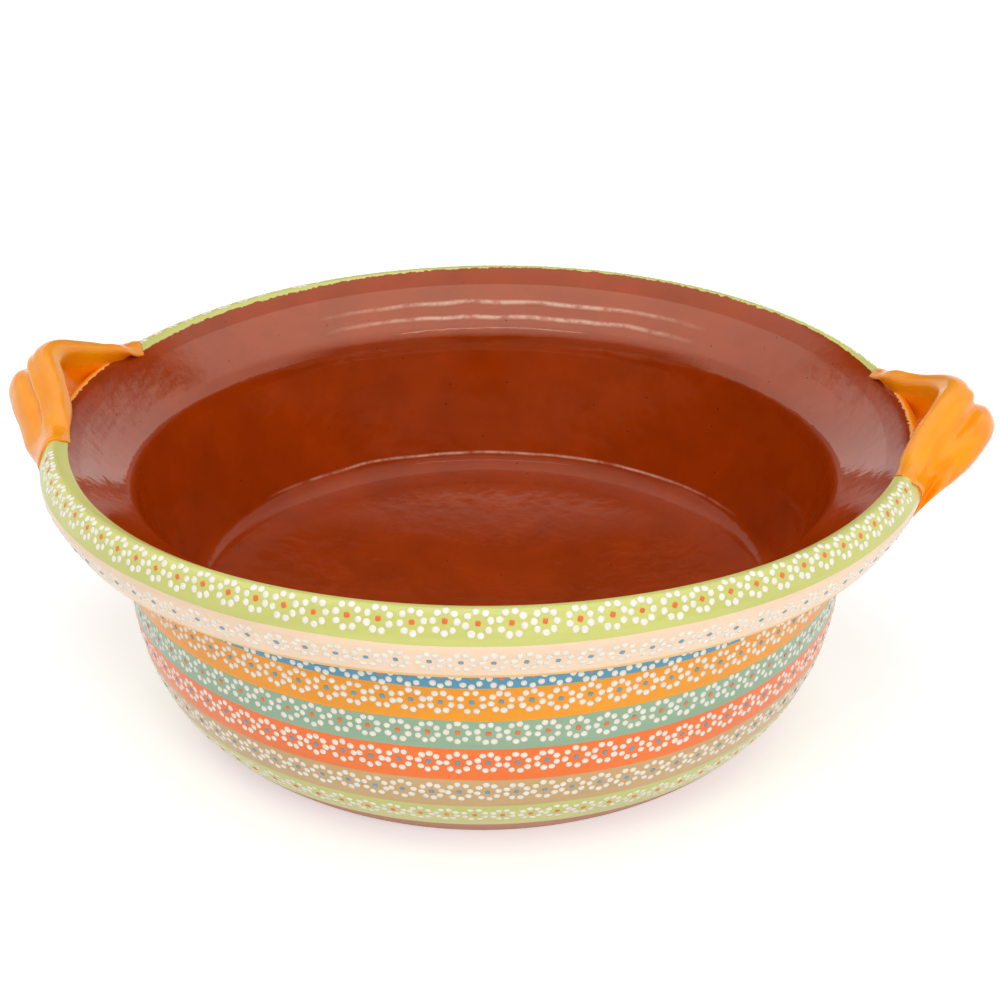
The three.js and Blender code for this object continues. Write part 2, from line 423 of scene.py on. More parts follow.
def curve_between(before, start, end, after, share):
    """A point of the smooth curve that passes through start and end, share of the way along."""
    knots = [0.0]
    for a, b in ((before, start), (start, end), (end, after)):
        knots.append(knots[-1] + max((b - a).length, WELD) ** 0.5)
    t = knots[1] + share * (knots[2] - knots[1])

    def mix(a, b, ta, tb):
        return a * ((tb - t) / (tb - ta)) + b * ((t - ta) / (tb - ta))

    a1 = mix(before, start, knots[0], knots[1])
    a2 = mix(start, end, knots[1], knots[2])
    a3 = mix(end, after, knots[2], knots[3])
    return mix(mix(a1, a2, knots[0], knots[2]), mix(a2, a3, knots[1], knots[3]), knots[1], knots[2])


def fine_outline(section, closed, fine_step):
    """The section as close points: curved between its points, sharp at its sharp corners."""
    count = len(section)
    corners = {0, count - 1} if not closed else set()
    for i in range(0 if closed else 1, count if closed else count - 1):
        if turn_at(section[i - 1], section[i], section[(i + 1) % count]) > SHARP_TURN:
            corners.add(i)
    fine = []
    for i in range(count if closed else count - 1):
        start = section[i]
        end = section[(i + 1) % count]
        before = start * 2 - end if i in corners else section[i - 1]
        after = end * 2 - start if (i + 1) % count in corners else section[(i + 2) % count]
        steps = max(1, math.ceil((end - start).length / (fine_step * MM)))
        fine += [curve_between(before, start, end, after, step / steps) for step in range(steps)]
    return fine if closed else fine + [section[-1]]


def new_piece(name, mesh, slot, *replaced):
    """A finished piece of the bowl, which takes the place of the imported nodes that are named."""
    piece = bpy.data.objects.new(name, mesh)
    bpy.context.scene.collection.objects.link(piece)
    if replaced:
        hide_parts(*replaced)
    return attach(piece, ROOT)


def eased(share):
    """0 to 1 with level ends."""
    share = min(1, max(0, share))
    return share * share * (3 - 2 * share)


def rim_lift(angle):
    """How far the rim stands above its true circle, metres."""
    lean = RIM_LEAN * math.cos(angle - math.radians(RIM_LEAN_SIDE))
    wave = RIM_WAVE * math.cos(2 * (angle - math.radians(RIM_WAVE_SIDE)))
    return (RIM_LIFT + lean + wave) * MM


def ridges_raise(radius, angle):
    """How far the throwing ridges raise the flare, metres."""
    side = (math.degrees(angle) - RIDGE_SIDE) / RIDGE_SPREAD
    share = FAINT_RIDGE + (1 - FAINT_RIDGE) * math.exp(-side * side)
    ray = Vector((math.cos(angle), math.sin(angle), 0))
    raised = 0
    for ridge_radius, ridge_height in THROWING_RIDGES:
        apart = Vector((0, 0, ridge_radius))
        wander = noise.noise(ray * RIDGE_CIRCLES[0] + apart) * RIDGE_WANDER
        away = (radius / MM - ridge_radius - wander) / RIDGE_WIDTH
        if abs(away) < RIDGE_REACH:
            uneven = RIDGE_UNEVEN * noise.noise(ray * RIDGE_CIRCLES[1] - apart)
            strength = share * (RIDGE_SHARE + uneven)
            raised += ridge_height * strength * MM * math.exp(-away * away)
    return raised


def hand_turned(radius, height, angle):
    """Where a point of the true turned form lies on the slightly uneven pot."""
    rise = eased((height / MM - RIM_WARP_FOOT) / (CREST_HEIGHT - RIM_WARP_FOOT))
    place = Vector((math.cos(angle), math.sin(angle), 0)) * radius + Vector((0, 0, height))
    lifted = height + rise * rim_lift(angle)
    if height > THROAT_HEIGHT * MM:
        lifted += ridges_raise(radius, angle)
    stray = noise.noise(place / (STRAY_LUMP * MM)) * WALL_STRAY * MM * eased(height / (STRAY_FOOT * MM))
    if radius < WALL_RADIUS * MM:
        from_seam = min(1, abs(height - NECK_HEIGHT) / (SEAM_REACH * MM))
        stray -= SEAM_EASE * MM * (1 - from_seam) ** 2
    return radius + stray, lifted


def turned_mesh(name, outline, closed, materials, material_of):
    """A mesh turned from an outline, welded at its poles, with a material chosen for each stretch."""
    mesh = bmesh.new()
    rings = []
    for point in outline:
        if point.x < WELD:
            rings.append([mesh.verts.new((0, 0, point.y))] * TURN_STEPS)
            continue
        ring = []
        for step in range(TURN_STEPS):
            angle = 2 * math.pi * step / TURN_STEPS
            radius, height = hand_turned(point.x, point.y, angle)
            ring.append(mesh.verts.new((radius * math.cos(angle), radius * math.sin(angle), height)))
        rings.append(ring)
    for i in range(len(rings) if closed else len(rings) - 1):
        lower = rings[i]
        upper = rings[(i + 1) % len(rings)]
        index = material_of(outline[i], outline[(i + 1) % len(outline)])
        for step in range(TURN_STEPS):
            after = (step + 1) % TURN_STEPS
            corners = [lower[step], lower[after], upper[after], upper[step]]
            face = mesh.faces.new(dict.fromkeys(corners))
            face.material_index = index
            face.smooth = True
    mesh.normal_update()
    for edge in mesh.edges:
        if len(edge.link_faces) == 2 and edge.calc_face_angle(0) > math.radians(SHARP_TURN):
            edge.smooth = False
    data = bpy.data.meshes.new(name)
    mesh.to_mesh(data)
    mesh.free()
    for material in materials:
        data.materials.append(material)
    return data


# Surfaces

def noise_at(pen, place, size, detail=2.0, roughness=0.5):
    """Noise whose lumps are about size millimetres, 0 to 1."""
    return pen("ShaderNodeTexNoise", {
        "Vector": place, "Scale": 1 / (size * MM), "Detail": detail, "Roughness": roughness,
    }).outputs["Fac"]


def stray_at(pen, place, size, detail=2.0, roughness=0.5):
    """The same noise from -0.5 to 0.5."""
    return pen.math("SUBTRACT", noise_at(pen, place, size, detail, roughness), 0.5)


def lumps_at(pen, place, size, height, detail=2):
    """Height of lumps about size millimetres across, none higher than height."""
    return pen.math("MULTIPLY", noise_at(pen, place, size, detail), height)


def between(pen, value, low, high, to_low=0.0, to_high=1.0):
    """A value's way from low to high, as a value from to_low to to_high."""
    return pen("ShaderNodeMapRange", {
        "Value": value, "From Min": low, "From Max": high, "To Min": to_low, "To Max": to_high,
    }).outputs["Result"]


def blended(pen, share, first, second, blend_type="MIX"):
    """Two colours mixed by a share of the second."""
    return pen("ShaderNodeMix", {0: share, 6: first, 7: second}, data_type="RGBA",
               blend_type=blend_type).outputs[2]


def strokes_at(pen, place, drawn_out, size, detail, roughness):
    """The same noise as noise_at gives, drawn out round the bowl, so that it runs in brush strokes."""
    brushed = pen.vector("MULTIPLY", place, (1 / drawn_out, 1 / drawn_out, 1))
    return noise_at(pen, brushed, size, detail, roughness)


def from_axis(pen, x, y):
    """The distance of a place from an upright axis."""
    return pen.math("SQRT", pen.math("ADD", pen.math("MULTIPLY", x, x), pen.math("MULTIPLY", y, y)))


def painted_glint_lines(pen, place):
    """Painted highlights on the brown: pale broken glint lines along the throwing ridges, and along the
    top of the round above the floor.
    """
    x, y, z = pen("ShaderNodeSeparateXYZ", {"Vector": place}).outputs
    radius = from_axis(pen, x, y)
    back = pen.math("DIVIDE", y, radius)
    stray = stray_at(pen, place, *GLINT_WAVES)
    # Full in some stretches and faint in others
    broken = between(pen, noise_at(pen, place, *GLINT_BREAKS), *GLINT_BREAKS_SHOW)

    wandered = pen.math("MULTIPLY_ADD", radius, 1 / MM, pen.math("MULTIPLY", stray, RIDGE_GLINT_STRAY))
    lines = 0.0
    for ridge_radius, _ in THROWING_RIDGES[1:]:
        away = pen.math("ABSOLUTE", pen.math("SUBTRACT", wandered, ridge_radius))
        lines = pen.math("ADD", lines, between(pen, away, *RIDGE_GLINT, 1.0, 0.0))
    above = pen.math("GREATER_THAN", z, THROAT_HEIGHT * MM)
    ridges = pen.product(lines, above, between(pen, back, *RIDGE_GLINT_BACK))

    # a painted glint line along the top of the round between wall and floor
    below = pen.math("MULTIPLY_ADD", stray, FILLET_GLINT_STRAY, -FILLET_GLINT_HEIGHT)
    away = pen.math("ABSOLUTE", pen.math("MULTIPLY_ADD", z, 1 / MM, below))
    by_wall = pen.math("GREATER_THAN", radius, FLOOR_CORNER[0] * MM)
    fillet_glint = pen.product(between(pen, away, *FILLET_GLINT, 1.0, 0.0), by_wall,
                       between(pen, back, *FILLET_GLINT_BACK))

    shown = pen.product(pen.math("ADD", ridges, fillet_glint), broken, GLINT_SHARE)
    return pen.math("MINIMUM", shown, 1.0)


def brown_glaze_group():
    """Colour and height of the brown inside: clear glaze over red clay, mottled, with a few pits and
    painted glint lines.
    """
    group = bpy.data.node_groups.new("brown glaze over clay", "ShaderNodeTree")
    group.interface.new_socket("Colour", in_out="OUTPUT", socket_type="NodeSocketColor")
    group.interface.new_socket("Height", in_out="OUTPUT", socket_type="NodeSocketFloat")
    pen = NodePen(group)
    place = pen("ShaderNodeTexCoord").outputs["Object"]
    mottle = between(pen, noise_at(pen, place, *MOTTLE), *MOTTLE_SHOWS)
    strokes = between(pen, strokes_at(pen, place, *BROWN_STROKES), *BROWN_STROKES_SHOW)
    specks = between(pen, noise_at(pen, place, *SPECKS), *SPECKS_SHOW)
    base = screen_colour(BROWN)
    dark = screen_colour([part * DARK_MOTTLE for part in BROWN])
    light = screen_colour([part * share for part, share in zip(BROWN, LIGHT_MOTTLE)])
    colour = blended(pen, mottle, dark, light)
    colour = blended(pen, strokes, colour, base)
    colour = blended(pen, specks, colour, dark)
    # painted highlights: pale glint lines along the ridges and above the floor
    colour = blended(pen, painted_glint_lines(pen, place), colour, screen_colour(GLINT_COLOUR))
    pits = pen("ShaderNodeTexVoronoi", {
        "Vector": place, "Scale": 1 / (PIT_SPACING * MM), "Randomness": 1.0})
    pit = between(pen, pits.outputs["Distance"], *PIT_EDGE, 1, 0)
    colour = blended(pen, pit, colour, screen_colour(PIT_BROWN))
    uneven = pen.math("ADD", lumps_at(pen, place, *BROWN_LUMPS), lumps_at(pen, place, *BROWN_GRAIN))
    height = pen.math("SUBTRACT", uneven, pen.math("MULTIPLY", pit, PIT_DEPTH))
    out = pen("NodeGroupOutput")
    group.links.new(colour, out.inputs["Colour"])
    group.links.new(height, out.inputs["Height"])
    return group


def glaze_shader(pen, colour, height_mm, roughness, ior=GLAZE_IOR, tint=PLAIN_TINT):
    """A clear glossy glaze over a colour, its surface lifted by height_mm, and the material's output."""
    bump = pen("ShaderNodeBump", {"Height": height_mm, "Distance": MM, "Strength": 1.0})
    shader = pen("ShaderNodeBsdfPrincipled", {
        "Base Color": colour, "Roughness": roughness, "IOR": ior, "Specular Tint": tint,
        "Normal": bump.outputs["Normal"],
    })
    pen("ShaderNodeOutputMaterial", {"Surface": shader.outputs["BSDF"]})


def new_material(name):
    """An empty material, and the pen that draws in it."""
    material = bpy.data.materials.new(name)
    material.use_nodes = True
    material.node_tree.nodes.clear()
    return material, NodePen(material.node_tree)


def brown_glaze(name, ior):
    """The brown inside as a material, as glossy as its glaze is thick."""
    material, pen = new_material(name)
    brown = pen("ShaderNodeGroup", node_tree=bpy.data.node_groups["brown glaze over clay"])
    glaze_shader(pen, brown.outputs["Colour"], brown.outputs["Height"], BROWN_ROUGHNESS, ior,
                 LEAD_GLAZE_TINT)
    return material


def band_slip(pen, height):
    """The colour of the painted bands at a height in millimetres."""
    top = BANDS[-1][0]
    ramp = pen("ShaderNodeValToRGB", {"Fac": pen.math("DIVIDE", height, top)})
    stops = ramp.color_ramp
    stops.interpolation = "CONSTANT"
    stops.elements.remove(stops.elements[1])
    stops.elements[0].color = screen_colour(BANDS[0][1])
    for (edge, _), (_, colour) in zip(BANDS, BANDS[1:]):
        stops.elements.new(edge / top).color = screen_colour(colour)
    return ramp.outputs["Color"]


def orange_rim(pen, place, x, y, radius):
    """Orange slip on the lip behind a handle, brushed to a ragged edge: where, where none, where thin."""
    side = pen.math("DIVIDE", y, radius)
    left = pen.math("LESS_THAN", x, 0)
    front_end = between(pen, left, 0, 1, *ORANGE_FRONT)
    back_end = between(pen, left, 0, 1, *ORANGE_BACK)
    by_handle = pen.math("MULTIPLY", pen.math("LESS_THAN", side, back_end),
                         pen.math("GREATER_THAN", side, front_end))
    ragged = stray_at(pen, place, *ORANGE_RAGS)
    reach = pen.math("MULTIPLY_ADD", ragged, ORANGE_STRAY, pen.math("DIVIDE", radius, MM))
    bare = between(pen, reach, ORANGE_EDGE - ORANGE_BLUR, ORANGE_EDGE + ORANGE_BLUR, 1, 0)
    thin = between(pen, reach, ORANGE_EDGE + ORANGE_THIN[0], ORANGE_EDGE + ORANGE_THIN[1], 1, 0)
    return by_handle, bare, thin


def painted_bands():
    """The outside: bands of coloured slip laid on while the bowl turned, the lip, and the bare foot."""
    material, pen = new_material("painted_bands")
    place = pen("ShaderNodeTexCoord").outputs["Object"]
    x, y, z = pen("ShaderNodeSeparateXYZ", {"Vector": place}).outputs
    radius = from_axis(pen, x, y)
    jitter = stray_at(pen, place, *SHORT_WAVES)
    stray = pen.math("MULTIPLY_ADD", stray_at(pen, place, *LONG_WAVES), BRUSH_STRAY,
                     pen.math("MULTIPLY", jitter, BRUSH_JITTER))
    height = pen.math("MULTIPLY_ADD", z, 1 / MM, stray)
    strokes = strokes_at(pen, place, *BAND_STROKES)
    stroke = between(pen, strokes, *BAND_STROKES_SHOW)
    streaked = pen("ShaderNodeCombineColor", {part: stroke for part in range(3)}).outputs[0]
    slip = blended(pen, 1.0, band_slip(pen, height), streaked, "MULTIPLY")

    # The painted line on the lip, with the smears at the back
    at_back = between(pen, pen.math("DIVIDE", y, radius), *SMEAR_BACK)
    smeared = pen.math("MULTIPLY_ADD", pen.math("MULTIPLY", jitter, at_back), PAINT_SMEAR, stray)
    painted_radius = from_axis(pen, pen.math("SUBTRACT", x, PAINT_CENTRE[0] * MM),
                               pen.math("SUBTRACT", y, PAINT_CENTRE[1] * MM))
    brown_share = between(pen, pen.math("MULTIPLY_ADD", painted_radius, 1 / MM, smeared),
                          PAINT_EDGE - PAINT_BLUR, PAINT_EDGE + PAINT_BLUR, 1, 0)

    # Orange slip instead of the green beside a handle
    by_handle, bare, thin = orange_rim(pen, place, x, y, radius)
    orange = blended(pen, thin, screen_colour(HANDLE_DEEP), screen_colour(RIM_PALE))
    on_lip = pen.math("GREATER_THAN", z, ORANGE_FOOT * MM)
    slip = blended(pen, pen.math("MULTIPLY", by_handle, on_lip), slip, orange)
    brown_share = blended(pen, by_handle, brown_share, bare)

    # Brown within that line and down the throat
    above = pen.math("GREATER_THAN", z, THROAT_HEIGHT * MM)
    within = pen.math("LESS_THAN", radius, WALL_RADIUS * MM)
    collar = pen.math("GREATER_THAN", z, NECK_HEIGHT)
    throat = pen.math("MULTIPLY", within, collar)
    inside = pen.math("MULTIPLY", brown_share, pen.math("MAXIMUM", above, throat))
    brown = pen("ShaderNodeGroup", node_tree=bpy.data.node_groups["brown glaze over clay"])
    colour = blended(pen, inside, slip, brown.outputs["Colour"])

    bare_foot = pen.math("LESS_THAN", height, BANDS[0][0])
    glazed = between(pen, inside, 0, 1, BAND_ROUGHNESS, LINE_ROUGHNESS)
    roughness = between(pen, bare_foot, 0, 1, glazed, CLAY_ROUGHNESS)
    brushed = pen.math("MULTIPLY", strokes, STROKE_HEIGHT)
    uneven = pen.math("ADD", lumps_at(pen, place, *BAND_LUMPS), brushed)
    tint = blended(pen, inside, PLAIN_TINT, LEAD_GLAZE_TINT)
    glaze_shader(pen, colour, uneven, roughness, tint=tint)
    return material


def handle_glaze():
    """Yellow orange slip, thick in the flutes, and pale along the edges and ridges of the strap: wiped
    thin there and painted highlight.
    """
    material, pen = new_material("handle_glaze")
    place = pen("ShaderNodeTexCoord").outputs["Object"]
    strap = pen("ShaderNodeUVMap", uv_map="strap").outputs["UV"]
    streaked = pen.vector("MULTIPLY", strap, (*STREAKS, 1))
    streak = pen("ShaderNodeTexNoise", {
        "Vector": streaked, "Scale": 1.0, "Detail": 4.0, "Roughness": 0.6}).outputs["Fac"]
    girth = pen("ShaderNodeSeparateXYZ", {"Vector": strap}).outputs[1]
    strayed = pen.math("MULTIPLY_ADD", pen.math("SUBTRACT", streak, 0.5), STREAK_STRAY, girth)
    # how pale each place round the section is: thin slip and painted highlight on the edges and ridges
    thin = pen("ShaderNodeValToRGB", {"Fac": strayed})
    stops = thin.color_ramp
    stops.interpolation = "EASE"
    for element, where, share in zip(stops.elements, (0, 1), EDGE_SLIP_AND_HIGHLIGHT):
        element.position = where
        element.color = (share, share, share, 1)
    for where, share in PALE_SLIP_AND_HIGHLIGHTS:
        stops.elements.new(where).color = (share, share, share, 1)
    clouds = between(pen, noise_at(pen, place, *STRAP_CLOUDS), *STRAP_CLOUDS_SHOW)
    share = pen.math("MULTIPLY", thin.outputs["Color"], clouds)
    share = pen.math("ADD", share, between(pen, streak, *STREAKS_SHOW))
    mottle = between(pen, noise_at(pen, place, *STRAP_MOTTLE), *MOTTLE_SHOWS)
    slip = blended(pen, mottle, screen_colour(HANDLE_ORANGE), screen_colour(HANDLE_DEEP))
    colour = blended(pen, pen.math("MINIMUM", share, 1.0), slip, screen_colour(HANDLE_PALE))
    drawn = pen.math("MULTIPLY", streak, STREAK_HEIGHT)
    uneven = pen.math("ADD", drawn, lumps_at(pen, place, *STRAP_LUMPS))
    glaze_shader(pen, colour, uneven, STRAP_ROUGHNESS, STRAP_IOR)
    return material


def slip_dab(name, colour):
    """Thick slip under the glaze, a little uneven in its whiteness."""
    material, pen = new_material(name)
    place = pen("ShaderNodeTexCoord").outputs["Object"]
    mottle = between(pen, noise_at(pen, place, *DOT_MOTTLE), *MOTTLE_SHOWS)
    dull = screen_colour([part * DULL_SLIP for part in colour])
    mixed = blended(pen, mottle, screen_colour(colour), dull)
    glaze_shader(pen, mixed, lumps_at(pen, place, *DOT_LUMPS, detail=1), DOT_ROUGHNESS)
    return material


# Handles

def lip_line():
    """Points over the lip, from the flare over the crest to the underside, and their runs from it."""
    outline = fine_outline(turned_section("rim_collar"), True, COLLAR_STEP)
    crest = max(range(len(outline)), key=lambda i: outline[i].y)
    ring = outline[crest:] + outline[:crest]
    if ring[1].x < ring[0].x:
        ring = [ring[0]] + ring[:0:-1]
    line = ring[-LIP_POINTS:] + ring[:LIP_POINTS + 1]
    runs = [0.0]
    for before, after in zip(line, line[1:]):
        runs.append(runs[-1] + (after - before).length)
    return [run - runs[LIP_POINTS] for run in runs], line


def on_lip(lip, run):
    """The point on the lip at a run from its crest, outwards positive."""
    runs, line = lip
    i = min(max(bisect.bisect(runs, run), 1), len(runs) - 1)
    share = (run - runs[i - 1]) / (runs[i] - runs[i - 1])
    return line[i - 1].lerp(line[i], share)


def lip_and_normal(lip, run):
    """The same point, and the lip's normal there, eased over its facets."""
    slope = on_lip(lip, run + LIP_BLUR * MM) - on_lip(lip, run - LIP_BLUR * MM)
    return on_lip(lip, run), Vector((-slope.y, slope.x)).normalized()


def station_at(stations, along):
    """The rails and thickness at a place along the strap, on a smooth curve through the stations."""
    i = max(k for k in range(len(stations) - 1) if k == 0 or stations[k][0] <= along)
    last = len(stations) - 1
    near = [stations[max(i - 1, 0)], stations[i], stations[i + 1], stations[min(i + 2, last)]]
    start, end = near[1][0], near[2][0]
    share = (along - start) / (end - start)
    values = []
    for a, b, c, d in zip(*[entry[1:] for entry in near]):
        rise_in = (c - a) / (end - near[0][0]) * (end - start)
        rise_out = (d - b) / (near[3][0] - start) * (end - start)
        values.append(
            b * (2 * share ** 3 - 3 * share ** 2 + 1) + rise_in * (share ** 3 - 2 * share ** 2 + share)
            + c * (3 * share ** 2 - 2 * share ** 3) + rise_out * (share ** 3 - share ** 2))
    return values


def off_lip(lip, place, least):
    """A place moved out of the lip's clay, so that it stands at least this far off its surface."""
    # The normal is read a little in from both ends of the line, where its blur has room
    runs, line = lip
    nearest = min(range(len(line)), key=lambda i: (line[i] - place).length_squared)
    point, normal = lip_and_normal(lip, min(max(runs[nearest], runs[3]), runs[-4]))
    depth = least - (place - point).dot(normal)
    return place + normal * depth if depth > 0 else place


def strap_section(stations, root, lip, along):
    """One section of a strap: radius, height and place across for each of its points."""
    inner_r, inner_z, outer_r, outer_z, thickness = station_at(stations, along)
    inner = Vector((inner_r, inner_z)) * MM
    outer = Vector((outer_r, outer_z)) * MM
    across_axis = (outer - inner).normalized()
    out_axis = Vector((-across_axis.y, across_axis.x))
    width = (outer - inner).length + 2 * STRAP_ROLL * MM * thickness / FULL_THICKNESS
    lifted = eased((1 - abs(along)) / ROOT_SHARE)
    fluted = eased((1 - abs(along)) / FLUTE_SHARE)
    at_end = max(0, (abs(along) - 1 + ROOT_ROUND) / ROOT_ROUND)
    root_height = root[2] * max(ROOT_END_SHARE, math.sqrt(1 - min(1, at_end) ** 2))
    section = []
    for side in range(STRAP_SIDES):
        turn = 2 * math.pi * side / STRAP_SIDES
        across = -math.copysign(abs(math.cos(turn)) ** EDGE_ROUND, math.cos(turn))
        face = math.copysign(abs(math.sin(turn)) ** FACE_ROUND, math.sin(turn))
        hollow = 0
        if face > 0:
            for place, depth, spread in FLUTES:
                hollow += depth * MM * math.exp(-((across - place) / spread) ** 2)
        hollow *= fluted * (1 - across ** 6)
        free = (inner + outer) / 2 + across_axis * across * width / 2
        free += out_axis * (face * thickness * MM / 2 - hollow)
        run = root[0] + (root[1] - root[0]) * (across + 1) / 2
        point, normal = lip_and_normal(lip, run * MM)
        pressed = point + normal * face * (root_height if face > 0 else 1) * MM
        place = pressed.lerp(free, lifted)
        if face > 0 and lifted < 1:
            place = off_lip(lip, place, min(ROOT_FILM, face) * MM)
        section.append((place, across))
    return section


def stops_short(root, across):
    """How many degrees before the strap's end a root stops, at a place across it."""
    trims = root[3]
    place = (across + 1) / 2 * (len(trims) - 1)
    i = min(int(place), len(trims) - 2)
    return trims[i] + (trims[i + 1] - trims[i]) * eased(place - i)


def strap_mesh(name, middle, half_span, towards_back, stations, roots):
    """A pulled strap bent round its arch and pressed on the lip at both roots, closed at its ends."""
    lip = lip_line()
    mesh = bmesh.new()
    layer = mesh.loops.layers.uv.new("strap")
    rings = []
    for step in range(STRAP_STEPS + 1):
        along = 2 * step / STRAP_STEPS - 1
        root = roots[along > 0]
        ring = []
        for point, across in strap_section(stations, root, lip, along):
            trimmed = eased((abs(along) - TRIM_FROM) / (1 - TRIM_FROM))
            short = math.copysign(stops_short(root, across) * trimmed, along)
            angle = math.radians(middle + towards_back * (along * half_span - short))
            radius, height = hand_turned(point.x, point.y, angle)
            ring.append(mesh.verts.new((radius * math.cos(angle), radius * math.sin(angle), height)))
        rings.append(ring)
    for step, (ring, after) in enumerate(zip(rings, rings[1:])):
        for side in range(STRAP_SIDES):
            onward = (side + 1) % STRAP_SIDES
            face = mesh.faces.new((ring[side], ring[onward], after[onward], after[side]))
            face.smooth = True
            places = ((step, side), (step, side + 1), (step + 1, side + 1), (step + 1, side))
            for loop, (u, v) in zip(face.loops, places):
                loop[layer].uv = (u / STRAP_STEPS, v / STRAP_SIDES)
    mesh.faces.new(rings[0])
    mesh.faces.new(rings[-1])
    bmesh.ops.triangulate(mesh, faces=[f for f in mesh.faces if len(f.verts) > 4])
    bmesh.ops.recalc_face_normals(mesh, faces=mesh.faces)
    data = bpy.data.meshes.new(name)
    mesh.to_mesh(data)
    mesh.free()
    return data


def make_handles(glaze):
    """Both straps, each from its own stations and roots."""
    for node, values in HANDLES.items():
        name = node.replace("handle", "strap")
        mesh = strap_mesh(name, **values)
        mesh.materials.append(glaze)
        new_piece(name, mesh, "handle_glaze", node)


# Rows of dotted flowers

FLOWER_ROW_INPUTS = (
    ("Clay", "Object"), ("Slip", "Material"), ("Middles only", "Bool"), ("Flowers", "Int"),
    ("Stretches", "Int"), ("Petals", "Int"), ("Seed", "Int"), ("Start", "Float"), ("Sweep", "Float"),
    ("Row radius", "Float"), ("Row height", "Float"), ("Back lift", "Float"),
    ("Ring radius", "Float"), ("Dot radius", "Float"), ("Dot thickness", "Float"),
    ("Wander", "Float"),
)


def flower_row_tree():
    """Geometry nodes that lay a row of flowers on the clay: rings of petals, or their middles."""
    tree = bpy.data.node_groups.new("dotted flower row", "GeometryNodeTree")
    face = tree.interface
    face.new_socket("Geometry", in_out="INPUT", socket_type="NodeSocketGeometry")
    for name, kind in FLOWER_ROW_INPUTS:
        face.new_socket(name, in_out="INPUT", socket_type="NodeSocket" + kind)
    face.new_socket("Geometry", in_out="OUTPUT", socket_type="NodeSocketGeometry")
    pen = NodePen(tree)
    given = pen("NodeGroupInput").outputs
    clay = pen("GeometryNodeObjectInfo", {"Object": given["Clay"]}).outputs["Geometry"]
    dots = dot_places(pen, given, flower_places(pen, given, clay), clay)
    laid = pen("GeometryNodeInstanceOnPoints", {
        "Points": dots, "Instance": dot_form(pen, given),
        "Rotation": facing(pen, clay_normal(pen, clay)),
        "Scale": random_vector(pen, LEAST_SCALE, MOST_SCALE, given["Seed"]),
    }).outputs[0]
    solid = pen("GeometryNodeRealizeInstances", {0: laid}).outputs[0]
    smooth = pen("GeometryNodeSetShadeSmooth", {0: solid}).outputs[0]
    slipped = pen("GeometryNodeSetMaterial", {"Geometry": smooth, "Material": given["Slip"]})
    tree.links.new(slipped.outputs[0], pen("NodeGroupOutput").inputs[0])
    return tree


def flower_places(pen, given, clay):
    """One point on the clay for each flower, in one or two stretches round the bowl."""
    count = pen.math("MULTIPLY", given["Flowers"], given["Stretches"])
    points = pen("GeometryNodePoints", {"Count": count}).outputs[0]
    index = pen("GeometryNodeInputIndex").outputs[0]
    stretch = pen.math("FLOOR", pen.math("DIVIDE", index, given["Flowers"]))
    within = pen.math("MODULO", index, given["Flowers"])
    share = pen.math("DIVIDE", pen.math("ADD", within, 0.5), given["Flowers"])
    angle = pen.math("MULTIPLY_ADD", share, given["Sweep"], given["Start"])
    angle = pen.math("MULTIPLY_ADD", stretch, math.pi, angle)
    sine = pen.math("SINE", angle)
    place = pen("ShaderNodeCombineXYZ", {
        0: pen.math("MULTIPLY", pen.math("COSINE", angle), given["Row radius"]),
        1: pen.math("MULTIPLY", sine, given["Row radius"]),
        2: pen.math("MULTIPLY_ADD", pen.math("MAXIMUM", sine, 0.0), given["Back lift"],
                    given["Row height"]),
    }).outputs[0]
    strayed = pen.vector("ADD", place, random_stray(pen, given["Wander"], given["Seed"]))
    flowers = pen("GeometryNodeSetPosition", {"Geometry": points, "Position": strayed}).outputs[0]
    return pressed_on(pen, flowers, clay)


def dot_places(pen, given, flowers, clay):
    """Points on the clay for the petals of each flower, or for its middle."""
    spin = random_value(pen, 0.0, 2 * math.pi, given["Seed"])
    turned = pen("FunctionNodeRotateRotation", {
        "Rotation": facing(pen, clay_normal(pen, clay)),
        "Rotate By": pen("FunctionNodeAxisAngleToRotation", {
            "Axis": (0, 0, 1), "Angle": spin}).outputs[0],
    }, rotation_space="LOCAL").outputs[0]
    ring = pen("GeometryNodeMeshCircle", {
        "Vertices": given["Petals"], "Radius": given["Ring radius"]}, fill_type="NONE").outputs[0]
    middle = pen("GeometryNodeMeshLine", {"Count": 1}).outputs[0]
    places = pen("GeometryNodeMeshToPoints", {
        "Mesh": pen.switch("GEOMETRY", given["Middles only"], ring, middle)}).outputs[0]
    spread = pen("GeometryNodeInstanceOnPoints", {
        "Points": flowers, "Instance": places, "Rotation": turned,
        "Scale": random_value(pen, *RING_SCALE, given["Seed"]),
    }).outputs[0]
    dots = pen("GeometryNodeRealizeInstances", {0: spread}).outputs[0]
    wander = pen.math("MULTIPLY", given["Wander"], DOT_WANDER)
    dots = pen("GeometryNodeSetPosition", {
        "Geometry": dots, "Offset": random_stray(pen, wander, given["Seed"])}).outputs[0]
    return pressed_on(pen, dots, clay)


def dot_form(pen, given):
    """A flat round drop of slip, or a squarish dab."""
    drop = pen("GeometryNodeMeshUVSphere", {
        "Segments": DOT_SIDES, "Rings": DOT_RINGS, "Radius": given["Dot radius"]}).outputs[0]
    dab = squarish_dab(pen, given["Dot radius"])
    flat = pen("ShaderNodeCombineXYZ", {
        0: 1.0, 1: 1.0, 2: pen.math("DIVIDE", given["Dot thickness"], given["Dot radius"])}).outputs[0]
    return pen("GeometryNodeTransform", {
        "Geometry": pen.switch("GEOMETRY", given["Middles only"], drop, dab), "Scale": flat}).outputs[0]


